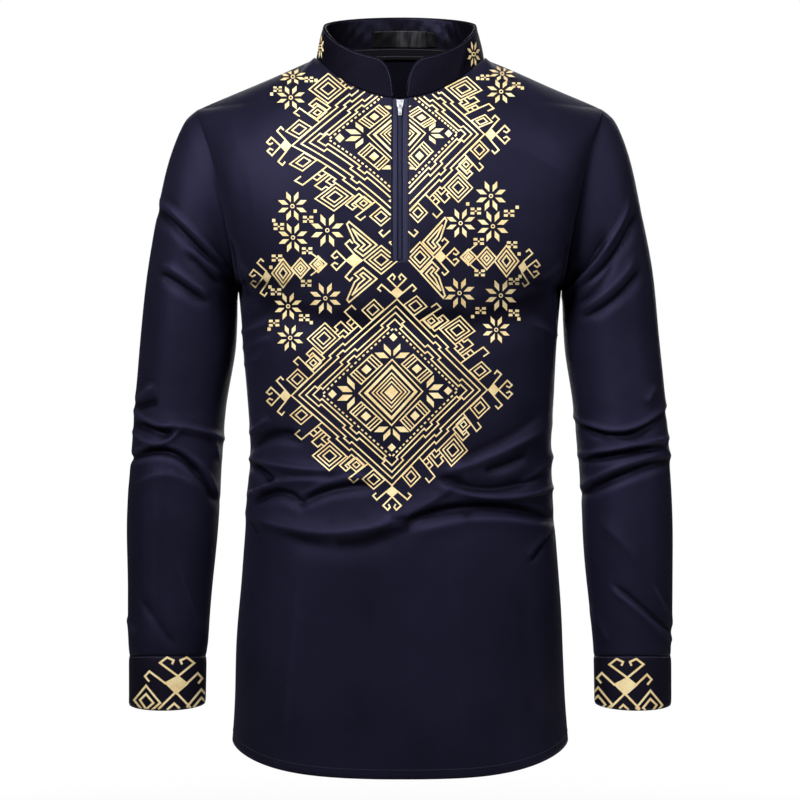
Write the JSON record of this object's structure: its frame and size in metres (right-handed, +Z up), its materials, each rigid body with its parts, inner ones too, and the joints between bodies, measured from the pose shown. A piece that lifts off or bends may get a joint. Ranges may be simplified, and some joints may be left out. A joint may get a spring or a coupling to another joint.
{
  "type": "dashiki shirt",
  "caption": "Slim long-sleeved navy dashiki tunic shirt with a stand collar, front zip and gold geometric print, held by its wearer.",
  "frame": {"origin": "middle of the neck, level with the side neck points, where the wearer's neck and shoulders carry the shirt", "axes": "+Z up along the body, -Y to the front of the shirt, +X to the wearer's left sleeve"},
  "size_m": [0.5832, 0.243, 0.802],
  "materials": {
    "shirt_cloth": "navy satin weave with a soft sheen",
    "gold_print": "gold foil printed on the cloth",
    "black_satin": "black satin facing",
    "black_tape": "black woven tape",
    "thread": "navy sewing thread",
    "zip_tape": "navy woven zip tape",
    "zip_coil": "navy nylon coil",
    "zip_metal": "bright plated metal"
  },
  "bodies": {
    "shirt": {"front": "shirt_cloth", "back": "shirt_cloth", "sleeve_left": "shirt_cloth", "sleeve_right": "shirt_cloth", "cuff_left": "shirt_cloth", "cuff_right": "shirt_cloth", "collar_stand": "shirt_cloth", "collar_facing": "black_satin", "neck_tape": "black_tape", "neck_label": "black_tape", "size_tab": "black_tape", "zip_tape_left": "zip_tape", "zip_tape_right": "zip_tape", "zip_coil": "zip_coil", "zip_slider": "zip_metal"},
    "pull": {"pull_tab": "zip_metal"}
  },
  "joints": [
    {"name": "pull_swing", "type": "hinge", "parent": "shirt", "child": "pull", "pos_m": [0, -0.07574, -0.05484], "axis": [-1, 0, 0], "range_deg": [0, 150]}
  ]
}
